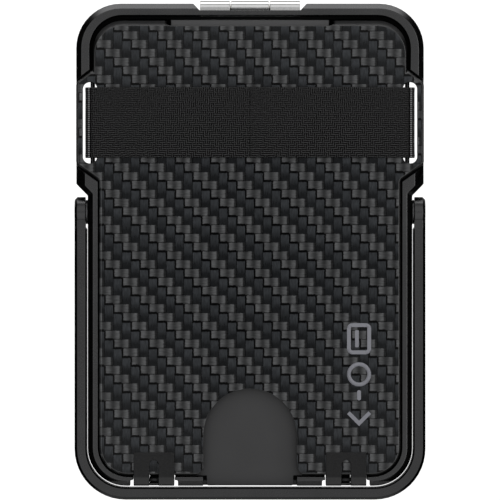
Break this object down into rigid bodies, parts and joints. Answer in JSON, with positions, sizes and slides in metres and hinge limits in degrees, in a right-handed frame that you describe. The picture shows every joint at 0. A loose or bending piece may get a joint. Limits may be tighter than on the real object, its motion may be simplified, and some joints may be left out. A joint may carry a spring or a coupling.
{
  "type": "magnetic card wallet",
  "caption": "Card wallet with a carbon-fibre sprung cover, an elastic band, a magnetic rear plate on a top hinge and a fold-out U-shaped stand.",
  "frame": {"origin": "middle of the wallet's outline, on the rear pad's face that lies against a phone", "axes": "+X to the right seen from the card side, +Y to the hinged top edge, +Z out of the card side"},
  "size_m": [0.0656, 0.0934, 0.0104],
  "materials": {
    "black_metal": "satin black anodised",
    "floor_metal": "matt dark grey",
    "hinge_metal": "fine brushed",
    "carbon": "twill carbon fibre under clear resin",
    "band_cloth": "woven elastic",
    "black_steel": "satin black",
    "rear_rubber": "matt, finely grained",
    "nickel": "nickel plated"
  },
  "bodies": {
    "frame": {"main_frame": "black_metal", "base_plate": "floor_metal", "hinge_bracket": "hinge_metal", "elastic_band": "band_cloth", "hinge_pin": "nickel", "band_pin_left": "black_steel", "cover_hinge_pin_left": "black_steel", "bracket_rivet_left": "nickel", "stand_pivot_left": "black_steel", "stand_washer_left": "black_steel", "base_rivet_left_1": "black_steel", "base_rivet_left_2": "black_steel", "base_rivet_left_3": "black_steel", "band_pin_right": "black_steel", "cover_hinge_pin_right": "black_steel", "bracket_rivet_right": "nickel", "stand_pivot_right": "black_steel", "stand_washer_right": "black_steel", "base_rivet_right_1": "black_steel", "base_rivet_right_2": "black_steel", "base_rivet_right_3": "black_steel"},
    "cover": {"cover_plate": "carbon", "cover_hinge_leaf_left": "black_steel", "cover_hinge_leaf_right": "black_steel"},
    "stand": {"stand_bail": "black_metal"},
    "rear_plate": {"hinge_arm": "hinge_metal", "magnet_housing": "black_metal", "rear_pad": "rear_rubber", "shunt_ring": "nickel", "align_magnet": "nickel", "arm_screw_left": "black_steel", "arm_screw_right": "black_steel", "ring_magnet_1": "nickel", "ring_magnet_2": "nickel", "ring_magnet_3": "nickel", "ring_magnet_4": "nickel", "ring_magnet_5": "nickel", "ring_magnet_6": "nickel", "ring_magnet_7": "nickel", "ring_magnet_8": "nickel", "ring_magnet_9": "nickel", "ring_magnet_10": "nickel", "ring_magnet_11": "nickel", "ring_magnet_12": "nickel", "ring_magnet_13": "nickel", "ring_magnet_14": "nickel", "ring_magnet_15": "nickel", "ring_magnet_16": "nickel"}
  },
  "joints": [
    {"name": "cover_tilt", "type": "hinge", "parent": "frame", "child": "cover", "pos_m": [0, -0.04305, 0.0062], "axis": [1, 0, 0], "range_deg": [0, 4], "stiffness_Nm_per_rad": 2, "deforming": ["elastic_band"]},
    {"name": "stand_swing", "type": "hinge", "parent": "frame", "child": "stand", "pos_m": [0, 0.00706, 0.007], "axis": [-1, 0, 0], "range_deg": [0, 100]},
    {"name": "plate_hinge", "type": "hinge", "parent": "frame", "child": "rear_plate", "pos_m": [0, 0.04546, 0.004], "axis": [1, 0, 0], "range_deg": [0, 120]}
  ]
}
